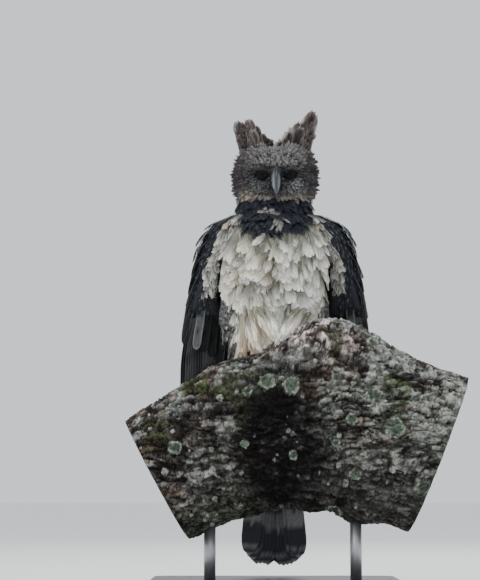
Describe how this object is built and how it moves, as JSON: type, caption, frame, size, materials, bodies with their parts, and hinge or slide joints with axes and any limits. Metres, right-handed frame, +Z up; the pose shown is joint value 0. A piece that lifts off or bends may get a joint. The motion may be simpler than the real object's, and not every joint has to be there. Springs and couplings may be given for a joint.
{
  "type": "harpy eagle",
  "caption": "Life-size harpy eagle perched upright on a short cut length of thick branch, with folded wings and raised crest, held by a plain display stand.",
  "frame": {"origin": "centre of the underside of the stand's base, on the floor", "axes": "+Z up, -Y the way the bird and its bill face, +X towards the bird's own left"},
  "size_m": [0.7096, 0.38, 1.0013],
  "materials": {
    "base": "satin black lacquer",
    "steel": "brushed",
    "bark": "rough bark with pale lichen",
    "breast_plumage": "soft white feathers",
    "collar_plumage": "soft black feathers",
    "head_plumage": "soft grey feathers",
    "wing_plumage": "smooth slate black feathers with pale edges",
    "tail_plumage": "smooth feathers barred black and grey",
    "thigh_plumage": "soft white feathers with fine black bars",
    "scaled_skin": "yellow scaled skin",
    "horn": "polished black horn",
    "eye": "wet dark eye"
  },
  "bodies": {
    "root": {"stand_base": "base", "stand_rod_1": "steel", "stand_rod_2": "steel", "perch": "bark", "torso": "breast_plumage", "neck": "collar_plumage", "head": "head_plumage", "bill_upper": "horn", "bill_lower": "horn", "tail": "tail_plumage", "eye_left": "eye", "wing_left": "wing_plumage", "thigh_left": "thigh_plumage", "shank_left": "scaled_skin", "foot_left": "scaled_skin", "claw_left_inner": "horn", "claw_left_middle": "horn", "claw_left_outer": "horn", "claw_left_hind": "horn", "eye_right": "eye", "wing_right": "wing_plumage", "thigh_right": "thigh_plumage", "shank_right": "scaled_skin", "foot_right": "scaled_skin", "claw_right_inner": "horn", "claw_right_middle": "horn", "claw_right_outer": "horn", "claw_right_hind": "horn"}
  },
  "joints": []
}
